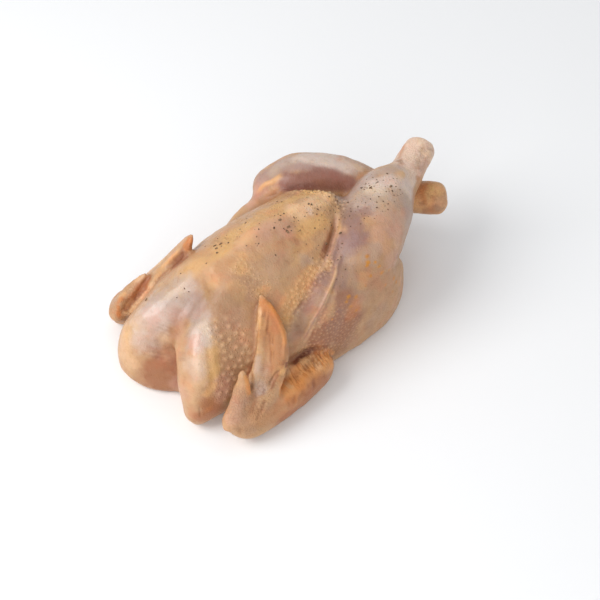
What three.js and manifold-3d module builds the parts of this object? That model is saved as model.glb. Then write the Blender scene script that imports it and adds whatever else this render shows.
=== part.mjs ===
// Whole raw chicken, plucked and drawn, lying on its back with the legs crossed over the tail and
// the wings folded beside the breast. One bird is one piece, so it is one closed solid.
//
// Millimetres. +Z is up, from the back to the breast. The neck end faces -Y and the tail +Y.
// The origin is under the middle of the bird, on the surface it rests on.

import * as THREE from 'three';
import { mergeVertices } from 'three/addons/utils/BufferGeometryUtils.js';
import Module from 'manifold-3d';

const wasm = await Module();
wasm.setup();

// Driving dimensions.
const frontY = -91; // front of the trunk, between the two halves of the breast
const rumpY = 118; // where the trunk ends under the tail
const keelHeight = 101; // highest point of the breastbone ridge
const bodyHalfWidth = 57; // half the width of the trunk at the breast
const limbFloor = 0.8; // the limbs stop this far above the surface the back rests on

const point = (x, y, z) => new THREE.Vector3(x, y, z);

// Reads stations, each a place along the line and the values there, at any place between them.
function between(stations) {
  const places = stations.map((station) => station[0]);
  const values = stations.flatMap((station) => station.slice(1));
  const curve = new THREE.CubicInterpolant(places, values, stations[0].length - 1);
  return (place) => Array.from(curve.evaluate(place));
}

// How wide a round end is, as a share of full size, where it begins at 0 and is full at length.
// The end is blunter the higher `square` is above 2.
function roundEnd(share, length, square = 2) {
  const left = Math.max(0, 1 - share / length);
  return (1 - left ** square) ** (1 / square);
}

// A closed skin: a sphere whose latitude runs along the piece and whose longitude runs round it.
// The rings crowd towards the two ends, where the skin turns in, the more the nearer crowding is
// to 1.
function wrap(sides, rings, place, crowding = 0.6) {
  const sphere = new THREE.SphereGeometry(1, sides, rings);
  sphere.deleteAttribute('normal');
  sphere.deleteAttribute('uv');
  const skin = mergeVertices(sphere);
  const vertices = skin.attributes.position;
  for (let i = 0; i < vertices.count; i += 1) {
    const on = point().fromBufferAttribute(vertices, i);
    const even = Math.acos(THREE.MathUtils.clamp(on.y, -1, 1)) / Math.PI;
    const share = THREE.MathUtils.lerp(even, (1 - on.y) / 2, crowding);
    const placed = place(share, Math.atan2(on.z, on.x));
    vertices.setXYZ(i, placed.x, placed.y, placed.z);
  }
  return skin;
}

// Where a turn meets an oval of radius 1 that is squarer the higher `square` is above 2.
function ovalAt(turn, square) {
  const bend = (value) => Math.sign(value) * Math.abs(value) ** (2 / square);
  return [bend(Math.cos(turn)), bend(Math.sin(turn))];
}

// A limb: an oval section carried along a smooth line. Each station is a point, and half the
// section's width along `across` and half its thickness square to that.
function limb({ stations, across, sides, rings, ends, square = 2 }) {
  const line = new THREE.CatmullRomCurve3(stations.map((station) => station.at));
  const last = stations.length - 1;
  const sizeAt = between(stations.map((station, i) => [i / last, station.wide, station.thick]));
  return wrap(sides, rings, (share, turn) => {
    const along = line.getTangent(share);
    const wide = across.clone().addScaledVector(along, -across.dot(along)).normalize();
    const thick = along.clone().cross(wide);
    const size = sizeAt(share);
    const full = roundEnd(share, ends[0]) * roundEnd(1 - share, ends[1]);
    const [u, v] = ovalAt(turn, square);
    const skin = line.getPoint(share);
    skin.addScaledVector(wide, size[0] * full * u).addScaledVector(thick, size[1] * full * v);
    skin.z = Math.max(skin.z, limbFloor);
    return skin;
  });
}

// The trunk from front to back: y, then half width, height of the ridge, height of the widest
// level and height of the back.
const trunkStations = [
  [frontY, 40, 46, 9, -7],
  [-80, 45, 56, 12, -7],
  [-69, 48, 66, 16, -6],
  [-56, 51, 75, 21, -5],
  [-44, 53, 83, 25, -4],
  [-33, 55, 90, 28, -3],
  [-14, 56.5, 95.5, 31, -2],
  [5, bodyHalfWidth, keelHeight, 32, -2],
  [30, 56, 100, 32, -2],
  [60, 52, 97, 31, -2],
  [78, 46, 86, 30, -1],
  [95, 38, 62, 27, 2],
  [rumpY, 24, 38, 22, 8],
];
const breastSlope = { across: 1.55, up: 1.65 }; // under 2 draws the breast to a ridge
const backFlatness = { across: 2.6, up: 3 };

// Soft places pushed out of the trunk or into it: the full front of each half of the breast, and
// the groove that runs down between them from the front of the breastbone.
const swells = [
  { from: point(30, -62, 62), to: point(38, -78, 12), radius: 18, push: point(4, -8, 3) },
  { from: point(-26, -68, 60), to: point(-24, -86, 12), radius: 22, push: point(-1.5, -9, 1.5) },
  { from: point(0, -52, 86), to: point(2, -88, 44), radius: 13, push: point(0, 9, -8) },
  { from: point(6, -90, 34), to: point(17, -90, 2), radius: 13, push: point(1, 17, 4) },
  { from: point(32, -92, 26), to: point(38, -92, 10), radius: 9, push: point(1.5, 3.5, 2) },
  { from: point(-44, -30, 66), to: point(-46, 25, 72), radius: 16, push: point(2, 0, -1) },
];

function swell(skin) {
  const nearest = point();
  const moved = skin.clone();
  for (const { from, to, radius, push } of swells) {
    new THREE.Line3(from, to).closestPointToPoint(skin, true, nearest);
    moved.addScaledVector(push, Math.exp(-((skin.distanceTo(nearest) / radius) ** 2)));
  }
  return moved;
}

function trunk() {
  const sizeAt = between(trunkStations);
  const place = (share, turn) => {
    const y = THREE.MathUtils.lerp(frontY, rumpY, share);
    const [halfWidth, ridge, belt, back] = sizeAt(y);
    const full = roundEnd(share, 0.1, 2.6) * roundEnd(1 - share, 0.1);
    const upper = Math.cos(turn) > 0;
    const shape = upper ? breastSlope : backFlatness;
    const height = (upper ? ridge - belt : back - belt) * Math.abs(Math.cos(turn)) ** (2 / shape.up);
    const width = halfWidth * Math.abs(Math.sin(turn)) ** (2 / shape.across);
    const skin = swell(point(full * width * Math.sign(Math.sin(turn)), y, belt + full * height));
    skin.z = Math.max(skin.z, 0);
    return skin;
  };
  return wrap(46, 50, place, 1);
}

// side is 1 for the +X half of the bird and -1 for the other. The front edge of the thigh is the
// taut skin that climbs from the flank to the knee.
function thigh(side, shift) {
  const middle = (x, y, z) => point(x * side, y, z).add(shift);
  return limb({
    across: point(1, 0, 0),
    sides: 24,
    rings: 26,
    ends: [0.18, 0.25],
    square: 2.4,
    stations: [
      { at: middle(50, -14, 15), wide: 9, thick: 11 },
      { at: middle(50.5, -3, 17), wide: 11, thick: 18 },
      { at: middle(50, 7, 20), wide: 13, thick: 29 },
      { at: middle(49, 18, 23), wide: 15, thick: 39 },
      { at: middle(47.5, 34, 27), wide: 17.3, thick: 49 },
      { at: middle(45.5, 55, 28), wide: 19, thick: 51 },
      { at: middle(43, 80, 27), wide: 21, thick: 46 },
      { at: middle(37, 106, 30), wide: 20, thick: 29 },
    ],
  });
}

// The girth of each leg from knee to hock: share of the way, how far the muscle stands off the
// straight line on its full side, and radius.
const nearGirth = [
  [-0.22, 0, 18],
  [-0.05, 0, 22.5],
  [0.15, 0, 26],
  [0.35, 2.5, 25],
  [0.54, 3.5, 21.3],
  [0.67, 1, 15.2],
  [0.73, 0, 13.3],
  [0.79, 0, 12.2],
  [0.9, 0.3, 12],
  [1, 0, 12],
];
const farGirth = [
  [-0.2, 0, 19.5],
  [-0.05, 1, 22.5],
  [0.1, 2.3, 25.3],
  [0.25, 2.3, 25.7],
  [0.4, 0.8, 24],
  [0.54, -1.5, 20],
  [0.67, -1, 15],
  [0.79, 0, 12.5],
  [0.9, 0, 12.5],
  [1, 0, 12],
];

function drumstick(knee, hock, fullSide, girth) {
  return limb({
    across: point(0, 0, 1),
    sides: 22,
    rings: 28,
    ends: [0.22, 0.06],
    stations: girth.map(([share, bend, radius]) => ({
      at: knee.clone().lerp(hock, share).addScaledVector(fullSide, bend),
      wide: radius,
      thick: radius,
    })),
  });
}

function upperArm(shoulder, elbow, side) {
  return limb({
    across: point(1, 0, 0),
    sides: 14,
    rings: 10,
    ends: [0.25, 0.25],
    stations: [
      { at: shoulder, wide: 15, thick: 17 },
      { at: shoulder.clone().lerp(elbow, 0.5).add(point(4 * side, 0, 1)), wide: 14, thick: 15 },
      { at: elbow, wide: 10, thick: 11 },
    ],
  });
}

function forearm(elbow, wrist, side) {
  const along = (share, out, up) => elbow.clone().lerp(wrist, share).add(point(out * side, 0, up));
  return limb({
    across: point(1, 0, 0),
    sides: 16,
    rings: 16,
    ends: [0.16, 0.16],
    square: 2.4,
    stations: [
      { at: along(-0.12, 0, 1), wide: 9, thick: 12 },
      { at: along(0.3, 2.5, -1), wide: 10.5, thick: 14.5 },
      { at: along(0.7, 2.5, -1), wide: 10.5, thick: 14.5 },
      { at: along(1.1, 0, 0.5), wide: 10, thick: 13.5 },
    ],
  });
}

// The flat wing tip that stands up and back from the wrist and leans on the breast. bow is how
// far its middle is bent off the straight line, and turnOut how far its flat side is turned
// from the side of the body.
function hand(wrist, tip, bow, side, { turnOut, tipWidth }) {
  const turn = THREE.MathUtils.degToRad(turnOut);
  const along = (share, bend) => wrist.clone().lerp(tip, share).addScaledVector(bow, bend);
  return limb({
    across: point(Math.sin(turn) * side, Math.cos(turn), 0),
    sides: 16,
    rings: 16,
    ends: [0.15, 0.16],
    stations: [
      { at: along(0, 0.3), wide: 10.5, thick: 8 },
      { at: along(0.25, 0.7), wide: 12, thick: 7 },
      { at: along(0.55, 1), wide: 12, thick: 4.4 },
      { at: along(0.8, 0.6), wide: 8.5, thick: 3.5 },
      { at: tip, wide: tipWidth / 2, thick: 2.3 },
    ],
  });
}

function thumb(wrist, side) {
  const from = (x, y, z) => wrist.clone().add(point(x * side, y, z));
  return limb({
    across: point(0.643 * side, 0.766, 0),
    sides: 12,
    rings: 9,
    ends: [0.2, 0.25],
    stations: [
      { at: from(-1.5, -5, -1), wide: 11, thick: 9 },
      { at: from(-5, 3, 16), wide: 8, thick: 6 },
      { at: from(-12, 10, 39), wide: 4.6, thick: 3.2 },
    ],
  });
}

const nearBlade = { turnOut: 40, tipWidth: 5.6 };
const farBlade = { turnOut: 60, tipWidth: 9 };

function wing(side, elbow, wrist, tip, bow, blade) {
  const shoulder = point(35 * side, -59, 24);
  return [
    upperArm(shoulder, elbow, side),
    forearm(elbow, wrist, side),
    hand(wrist, tip, bow, side, blade),
    thumb(wrist, side),
  ];
}

function tail() {
  return limb({
    across: point(1, 0, 0),
    sides: 16,
    rings: 12,
    ends: [0.2, 0.35],
    stations: [
      { at: point(0, 96, 22), wide: 20, thick: 14 },
      { at: point(0, 118, 26), wide: 17, thick: 11 },
      { at: point(0, 139, 36), wide: 10, thick: 7.5 },
    ],
  });
}

function solidOf(skin) {
  const mesh = new wasm.Mesh({
    numProp: 3,
    vertProperties: skin.attributes.position.array,
    triVerts: new Uint32Array(skin.index.array),
  });
  return new wasm.Manifold(mesh);
}

// The joined bird, moved so that the origin is under the middle of its box.
function geometryOf(solid) {
  const mesh = solid.getMesh();
  const geometry = new THREE.BufferGeometry();
  geometry.setAttribute('position', new THREE.BufferAttribute(mesh.vertProperties, 3));
  geometry.setIndex(new THREE.BufferAttribute(mesh.triVerts, 1));
  geometry.computeBoundingBox();
  const { min, max } = geometry.boundingBox;
  geometry.translate(-(min.x + max.x) / 2, -(min.y + max.y) / 2, -min.z);
  geometry.computeVertexNormals();
  return geometry;
}

const pieces = [
  trunk(),
  tail(),
  thigh(1, point(0, 0, 0)),
  thigh(-1, point(4, 6, -8.5)),
  drumstick(point(40, 60, 67), point(-2.5, 163.5, 81), point(-0.86, -0.4, 0.32), nearGirth),
  drumstick(point(-43, 65.5, 67), point(28, 162, 49), point(-0.56, 0.54, 0.63), farGirth),
  ...wing(1, point(66.5, 9, 17), point(69, -63, 15.5), point(33, -18, 84), point(8.5, 11.5, 0), nearBlade),
  ...wing(-1, point(-60, 8, 12), point(-66, -70, 12), point(-36, -20, 85.5), point(4, 4.5, 1), farBlade),
];
const bird = pieces.map(solidOf).reduce((joined, piece) => joined.add(piece));

const chicken = new THREE.Mesh(
  geometryOf(bird),
  new THREE.MeshStandardMaterial({ color: 0xcfa079, roughness: 0.45, metalness: 0 }),
);
chicken.name = 'chicken';

const part = new THREE.Group();
part.add(chicken);

export default part;
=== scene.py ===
import bmesh
import bpy
import math
import numpy as np
import random
from mathutils import Matrix, Vector, noise
from mathutils.bvhtree import BVHTree


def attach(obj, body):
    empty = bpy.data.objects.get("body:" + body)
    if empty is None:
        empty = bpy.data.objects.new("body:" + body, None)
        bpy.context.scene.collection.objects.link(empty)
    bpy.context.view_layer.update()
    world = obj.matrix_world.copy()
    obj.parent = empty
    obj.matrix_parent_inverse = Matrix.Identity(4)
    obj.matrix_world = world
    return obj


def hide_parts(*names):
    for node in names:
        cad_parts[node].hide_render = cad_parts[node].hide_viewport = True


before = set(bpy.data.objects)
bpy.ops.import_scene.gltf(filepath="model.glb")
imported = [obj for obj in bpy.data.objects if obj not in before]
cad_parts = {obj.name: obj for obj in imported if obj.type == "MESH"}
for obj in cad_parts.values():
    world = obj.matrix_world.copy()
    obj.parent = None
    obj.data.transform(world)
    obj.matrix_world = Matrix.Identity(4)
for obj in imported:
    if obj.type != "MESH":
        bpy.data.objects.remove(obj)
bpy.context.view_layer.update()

# The strokes and colours below are placed in millimetres: x to the bird's right as it lies, y
# towards its tail and z up from the surface it lies on. Light, camera and floor are in metres.
perMetre = 1000

camera = {
    "place": (0.4624, -0.3790, 0.7457),
    "target": (0.0285, -0.0149, 0.0463),
    "lens": 78,
    "film": 36,
    "picture": 600,  # pixels along each side of the square picture
}


# The turn of a lamp or camera that stands at a place and looks at a target.
def turnTowards(place, target):
    return (Vector(target) - Vector(place)).to_track_quat("-Z", "Y")


def makeCamera():
    data = bpy.data.cameras.new("camera")
    data.lens = camera["lens"]
    data.sensor_width = camera["film"]
    eye = bpy.data.objects.new("camera", data)
    bpy.context.scene.collection.objects.link(eye)
    eye.location = camera["place"]
    eye.rotation_euler = turnTowards(camera["place"], camera["target"]).to_euler()
    bpy.context.scene.camera = eye


studio = {
    "lamps": [  # place, size, watts
        ((-0.35, -0.8, 0.95), 0.9, 11),
        ((0.8, -0.8, 0.8), 1.2, 5),
        ((-0.2, 0.9, 0.9), 1.4, 1.5),
    ],
    "sky": (0.95, 0.97, 1.0),
    "skyStrength": 0.55,
    "aim": (0, 0, 0.04),
}


def makeStudio():
    for number, (place, size, watts) in enumerate(studio["lamps"]):
        data = bpy.data.lights.new(f"lamp{number}", "AREA")
        data.shape = "DISK"
        data.size = size
        data.energy = watts
        lamp = bpy.data.objects.new(f"lamp{number}", data)
        bpy.context.scene.collection.objects.link(lamp)
        lamp.location = place
        lamp.rotation_euler = turnTowards(place, studio["aim"]).to_euler()
    world = bpy.data.worlds.new("sky")
    world.use_nodes = True
    back = world.node_tree.nodes["Background"]
    back.inputs["Color"].default_value = (*studio["sky"], 1)
    back.inputs["Strength"].default_value = studio["skyStrength"]
    bpy.context.scene.world = world
    bpy.context.scene.view_settings.view_transform = "Standard"


floorPlate = {"halfWidth": 6, "colour": (0.9, 0.9, 0.9), "roughness": 0.8}


def makeFloor():
    bm = bmesh.new()
    bmesh.ops.create_grid(bm, x_segments=1, y_segments=1, size=floorPlate["halfWidth"])
    mesh = bpy.data.meshes.new("floor")
    bm.to_mesh(mesh)
    bm.free()
    floor = bpy.data.objects.new("floor", mesh)
    bpy.context.scene.collection.objects.link(floor)
    material = bpy.data.materials.new("paleFloor")
    material.use_nodes = True
    shader = material.node_tree.nodes["Principled BSDF"]
    shader.inputs["Base Color"].default_value = (*floorPlate["colour"], 1)
    shader.inputs["Roughness"].default_value = floorPlate["roughness"]
    mesh.materials.append(material)


makeCamera()
makeStudio()
makeFloor()
print("camera, floor and light are in place")


# Points every gap or less on a smooth curve through the given points.
def smoothLine(points, gap):
    points = np.array(points, float)
    if len(points) == 1:
        return points
    ends = np.vstack([2 * points[0] - points[1], points, 2 * points[-1] - points[-2]])
    pieces = []
    for a, b, c, d in zip(ends, ends[1:], ends[2:], ends[3:]):
        steps = max(2, math.ceil(np.linalg.norm(c - b) / gap))
        t = np.linspace(0, 1, steps, endpoint=False)[:, None]
        bend = (2 * a - 5 * b + 4 * c - d) * t ** 2 + (3 * b - 3 * c + d - a) * t ** 3
        pieces.append(0.5 * (2 * b + (c - a) * t + bend))
    return np.vstack([*pieces, points[-1:]])


def smoothStep(values):
    values = np.clip(values, 0, 1)
    return values * values * (3 - 2 * values)


# The vertices of a mesh in millimetres, with what a stroke needs to know about them.
class Clay:
    farOff = 1e6  # the distance given to a vertex out of reach
    blockSize = 2000000  # how many distances are worked out at a time
    strokeReach = 2.2  # how far a stroke reaches, in its radii
    seedShift = (17.3, 5.1, 9.7)  # how far apart the noises of two seeds lie

    def __init__(self, mesh):
        self.mesh = mesh
        self.count = len(mesh.vertices)
        self.at = np.zeros((self.count, 3))
        mesh.vertices.foreach_get("co", self.at.ravel())
        self.at *= perMetre
        ends = np.zeros(len(mesh.edges) * 2, int)
        mesh.edges.foreach_get("vertices", ends)
        self.first, self.second = ends.reshape(-1, 2).T
        self.degree = np.bincount(ends, minlength=self.count)
        self.settle()

    def settle(self):
        self.mesh.vertices.foreach_set("co", (self.at / perMetre).ravel())
        self.mesh.update()
        self.out = np.zeros((self.count, 3))
        self.mesh.vertices.foreach_get("normal", self.out.ravel())

    def averaged(self, values):
        total = np.zeros_like(values)
        for axis in range(values.shape[1]):
            total[:, axis] = np.bincount(self.first, values[self.second, axis], self.count)
            total[:, axis] += np.bincount(self.second, values[self.first, axis], self.count)
        return total / self.degree[:, None]

    # The skin after a number of steps that each move a vertex halfway to its neighbours' middle.
    def smoothed(self, steps, weight=1.0):
        places = self.at.copy()
        for step in range(steps):
            places += 0.5 * weight * (self.averaged(places) - places)
        return places

    # For each vertex its distance to a line, how far along the line it is, from 0 to 1, and the
    # point of the line nearest to it.
    def near(self, line, reach, gap=1.0):
        path = smoothLine(line, gap)
        inside = (self.at > path.min(0) - reach) & (self.at < path.max(0) + reach)
        inside = np.flatnonzero(inside.all(1))
        distance = np.full(self.count, self.farOff)
        share = np.zeros(self.count)
        foot = self.at.copy()
        for block in np.array_split(inside, max(1, len(inside) * len(path) // self.blockSize)):
            gaps = np.linalg.norm(self.at[block, None] - path[None], axis=2)
            distance[block] = gaps.min(1)
            share[block] = gaps.argmin(1) / max(1, len(path) - 1)
            foot[block] = path[gaps.argmin(1)]
        return distance, share, foot

    # The vertex nearest to a place.
    def nearest(self, place):
        return int(np.linalg.norm(self.at - place, axis=1).argmin())

    # 1 along each line, from there less and less over fade, and 0 from width on.
    def beside(self, lines, width, fade, gap=3):
        weight = np.zeros(self.count)
        for line in lines:
            distance, share, foot = self.near(line, width, gap)
            weight = np.maximum(weight, smoothStep((width - distance) / fade))
        return weight

    # Raises what lies lower than its surroundings and leaves the rest.
    def fill(self, weight, steps):
        rise = ((self.smoothed(steps) - self.at) * self.out).sum(1)
        self.at += self.out * (weight * np.clip(rise, 0, None))[:, None]

    # Pushes the skin out where height is above 0, and in where it is below.
    def stroke(self, line, radius, height, taper=0.3):
        distance, share, foot = self.near(line, self.strokeReach * radius, gap=radius / 3)
        fade = 1.0
        if len(line) > 1:
            fade = smoothStep(np.minimum(share, 1 - share) / taper)
        weight = fade * np.exp(-(distance / radius) ** 2)
        self.at += self.out * (height * weight)[:, None]
        return weight

    def noiseAt(self, size, seed=0):
        shift = Vector([seed * part for part in self.seedShift])
        return np.array([noise.noise(Vector(place) / size + shift) for place in self.at])


def copyOfNode(nodeName, pieceName):
    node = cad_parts[nodeName]
    bm = bmesh.new()
    bm.from_mesh(node.data)
    bmesh.ops.remove_doubles(bm, verts=bm.verts, dist=1e-6)
    mesh = bpy.data.meshes.new(pieceName)
    bm.to_mesh(mesh)
    bm.free()
    piece = bpy.data.objects.new(pieceName, mesh)
    bpy.context.scene.collection.objects.link(piece)
    return piece


def remesh(piece, voxel):
    modifier = piece.modifiers.new("remesh", "REMESH")
    modifier.mode = "VOXEL"
    modifier.voxel_size = voxel
    seen = bpy.context.evaluated_depsgraph_get()
    mesh = bpy.data.meshes.new_from_object(piece.evaluated_get(seen))
    piece.modifiers.clear()
    piece.data = mesh


# Splits each edge whose two ends have a weight above a half.
def refine(piece, weight):
    bm = bmesh.new()
    bm.from_mesh(piece.data)
    bm.verts.ensure_lookup_table()
    wanted = [edge for edge in bm.edges if min(weight[vertex.index] for vertex in edge.verts) > 0.5]
    bmesh.ops.subdivide_edges(bm, edges=wanted, cuts=1, use_grid_fill=True)
    bmesh.ops.triangulate(bm, faces=[face for face in bm.faces if len(face.verts) > 4])
    bm.to_mesh(piece.data)
    bm.free()


bird = {
    "voxel": 0.00142,
    "pulls": [  # place, radius, move
        ((-56, -97, 48), 9, (-2, 13, -1)),  # the far thumb lies against the hand
        ((58, -88, 53), 5, (-2.2, 2, 2.5)),  # the near thumb is pointed
        ((56, -93, 49), 5, (1.6, 1.9, 0)),
        ((66, -107, 21), 9, (-0.4, -2.9, -1.3)),  # the near elbow
        ((67, -107, 14), 8, (-0.6, -2.4, -0.5)),
        ((34, -53, 82), 5, (-1.3, 1.1, 1.4)),  # the near wing tip
        ((44, 63, 46), 10, (1.5, 1.8, 0)),  # the calf above the thigh
        ((2, 37, 91), 7, (-0.9, 2.0, 1.6)),  # the rear corner of the breast
        ((6, 127, 87), 5, (0.7, 1.4, 0.3)),  # the end of the near leg
    ],
    "soften": 37,
    "thinSoften": 0.18,  # the share of that softening that the wings and leg ends get
    "wingWidth": (18, 5),  # how far from its line a wing reaches, and the fade at its edge
    "legWidth": (20, 6),
    "streakWidth": (11, 8),
    "fillReach": 2.5,  # in radii
    "fineMargin": 1,  # how much further than a fine stroke the finer mesh goes
    "fills": [  # middle, radius and steps: creases that the skin spans
        ([(40, 4, 80), (50, 20, 80), (55, 38, 76), (55, 50, 70), (49, 59, 54)], 13, 350),
        ([(-54, 19, 76), (-60, 39, 64)], 11, 100),
        ([(-60, -97, 43), (-58, -90, 47), (-55, -84, 49)], 8, 420),
    ],
    "strokes": [  # line, radius, height
        # the ridge of the breastbone with its blunt front, and the hollow along each side of it
        ([(-4, -69, 88), (-3, -51, 96), (-1, -30, 101),
          (-1, -6, 101), (-1, 17, 99), (-2, 32, 95)], 5, 1.6),
        ([(-4, -66, 89)], 6, 1.6),
        ([(11, -57, 88), (15, -37, 91), (16, -11, 91), (12, 11, 92)], 11, -1.6),
        ([(-17, -55, 88), (-19, -31, 91), (-18, -5, 91)], 11, -1.4),
        # the rear edge of the breast
        ([(-45, 12, 71), (-35, 20, 79), (-19, 26, 91), (-6, 33, 94), (1, 40, 90), (8, 40, 88)], 3.2, 1.3),
        ([(-4, 32, 94), (0, 35, 93), (3, 38, 90)], 3, 1.6),
        # the groove between the two halves of the breast
        ([(-9, -88, 69), (-6, -96, 59), (1, -104, 48), (4, -107, 32), (10, -112, 22)], 4.5, -1.3),
        ([(-8, -100, 58), (-7, -109, 42), (-6, -115, 26)], 9, -1.4),
        # the crest of the near half and the hollow inside it
        ([(8, -91, 67), (22, -99, 66), (31, -105, 57), (38, -109, 46), (44, -113, 32)], 5.5, 1.6),
        ([(10, -95, 62), (20, -104, 54), (28, -112, 40)], 3.5, -1.2),
        # the fat under the skin beside it
        ([(28, -92, 66), (36, -96, 55), (43, -99, 43), (46, -105, 29)], 2.6, 0.8),
        # the gap between the breast and the far leg
        ([(-14, 45, 84), (-26, 31, 84), (-35, 18, 80), (-42, 5, 74), (-47, -7, 66)], 3, -2.2),
        ([(-42, 29, 89), (-44, 20, 84), (-48, 14, 79), (-51, 2, 70), (-54, -14, 58)], 1.8, 1.5),
        # where the calf folds over the thigh
        ([(50, 46, 84), (54, 47, 78), (56, 50, 70), (50, 58, 56)], 3, -0.8),
        # the gap above the near forearm
        ([(66, -59, 46), (59, -49, 36), (58, -40, 34), (59, -31, 34), (60, -22, 33)], 2.4, -3.0),
        ([(63, -45, 32), (61, -34, 29), (61, -22, 27), (61, -15, 23)], 2.8, 1.3),
        # the hollows of the far wing, and the rims beside them
        ([(-58, -108, 22), (-57, -104, 31), (-56, -99, 35)], 3, -1.2),
        ([(-46, -75, 58), (-42, -71, 65), (-39, -67, 71), (-36, -64, 76)], 2.6, -2.4),
        ([(-62, -109, 28), (-60, -103, 38), (-56, -95, 48), (-58, -84, 46)], 2.2, 1.0),
        ([(-59, -83, 45), (-52, -77, 54), (-45, -70, 66), (-40, -62, 78)], 2.4, 1.2),
        # knuckles at the ends of the legs, with the groove between them
        ([(3, 122, 91)], 6, 1.4),
        ([(11, 123, 84)], 6, 1.4),
        ([(4, 116, 92), (8, 125, 88), (9, 129, 82)], 2.6, -1.3),
        ([(20, 120, 62)], 6, 1.2),
        ([(30, 120, 53)], 6, 1.2),
        ([(23, 112, 61), (28, 121, 58), (28, 126, 50)], 2.6, -1.3),
    ],
    "fineStrokes": [  # the same, put in where the mesh is finer
        # the gap between the breast and the near leg, and the lip of skin behind it
        ([(13, 31, 89), (17, 26, 88), (22, 20, 86), (27, 13, 83), (31, 6, 79), (33, 0, 77)], 1.7, -3.2),
        ([(33, 0, 77), (38, -11, 71), (42, -24, 66), (45, -36, 60), (47, -43, 56)], 1.3, -0.7),
        ([(15, 36, 90), (20, 30, 89), (26, 23, 86), (31, 15, 82), (35, 8, 78), (38, -2, 74)], 1.4, 1.1),
        # the thin fold that runs from the knee down to the flank
        ([(36, 16, 85), (40, 10, 79), (46, 1, 77), (51, -8, 73),
          (54, -19, 64), (54, -29, 52), (54, -38, 38)], 1.0, 1.4),
        ([(46, 5, 79), (51, -3, 75), (55, -12, 66), (57, -22, 56), (57, -32, 43)], 2.2, -0.8),
        # the fold of skin at the near wrist
        ([(67, -62, 48), (66, -67, 46), (67, -72, 43), (69, -76, 39)], 0.9, -1.1),
        ([(69, -65, 45), (70, -70, 42)], 1.3, 0.5),
        ([(64, -78, 42), (65, -82, 40), (67, -86, 37), (71, -88, 32), (75, -86, 27)], 0.9, -1.0),
        ([(64, -92, 38), (69, -96, 30)], 1.3, -0.6),
        # the crease between the near thumb and the wing tip, and the blunt end of the thumb
        ([(53, -78, 46), (55, -80, 43), (60, -84, 42), (65, -87, 37)], 1.3, -1.8),
        ([(56, -90, 52), (58, -86, 51)], 2.0, 0.5),
        # the fold at the foot of the near half of the breast
        ([(44, -116, 29), (45, -116, 24), (46, -117, 17)], 0.8, -0.5),
        # the hollow along the near wing tip, and its rims
        ([(44, -57, 73), (51, -62, 63), (58, -70, 52), (64, -78, 42)], 4.0, -2.2),
        ([(36, -54, 81), (41, -59, 72), (45, -65, 63), (49, -70, 55), (54, -76, 48)], 1.2, 1.0),
        ([(35, -53, 82), (41, -51, 78), (49, -51, 72),
          (57, -52, 64), (61, -56, 57), (66, -61, 49)], 1.3, 1.2),
        # the hollow beside the outer rim of the far wing
        ([(-58, -109, 20), (-57, -104, 31), (-56, -99, 35), (-56, -92, 38), (-54, -86, 45)], 2, -0.4),
        ([(-46, -75, 58), (-42, -71, 65), (-39, -67, 71), (-36, -64, 76)], 2.0, -2.2),
    ],
    "lumps": [(26, 0.9), (11, 0.5), (4.5, 0.22)],  # size and height of the unevenness all over
    "wingEvenness": 0.6,  # the share of it that the wings do without
    "hollows": [(7, 0.12, 0.22), (50, 1.0, 0.5)],  # steps, depth and strength of painted shade in the hollows, with painted highlight on the ridges
    # what the painted shade in creases and hollows multiplies the colour by at full strength
    "hollowShadeTint": (0.62, 0.45, 0.38),
    "wingLines": [  # along the forearm, the hand and the thumb of each wing
        [(64, -20, 17), (67, -98, 17)],
        [(67, -97, 17), (58, -69, 52), (33, -50, 84)],
        [(66, -101, 20), (55, -87, 55)],
        [(-62, -22, 13), (-68, -105, 14)],
        [(-68, -104, 16), (-54, -82, 50), (-38, -54, 85)],
        [(-68, -107, 18), (-57, -92, 51)],
    ],
    "legEnds": [
        [(8, 104, 89), (4, 129, 92)],
        [(16, 106, 60), (30, 128, 58)],
    ],
    "streakLines": [  # the upper edges of the forearms, where short streaks run across, dark as painted shade in these creases
        [(67, -52, 31), (65, -42, 31), (66, -30, 30), (62, -15, 20)],
        [(-67, -54, 26), (-66, -36, 26), (-65, -18, 23)],
    ],
    "wrinkled": [  # line and radius
        ([(60, -97, 38), (68, -99, 28), (74, -94, 22)], 10),
        ([(66, -76, 38), (73, -82, 30)], 7),
        ([(11, 104, 90), (3, 124, 90)], 12),
        ([(17, 106, 62), (30, 126, 56)], 12),
        ([(-66, -106, 20), (-62, -98, 36)], 9),
    ],
    "wet": [  # line and radius
        ([(-14, -92, 70), (-20, -105, 60)], 13),
        ([(8, -91, 66), (22, -99, 64), (31, -105, 56)], 9),
        ([(12, 66, 98), (24, 72, 96)], 13),
        ([(-44, 34, 91), (-36, 48, 93), (-22, 66, 90)], 10),
        ([(6, 108, 90)], 10),
    ],
}
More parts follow.
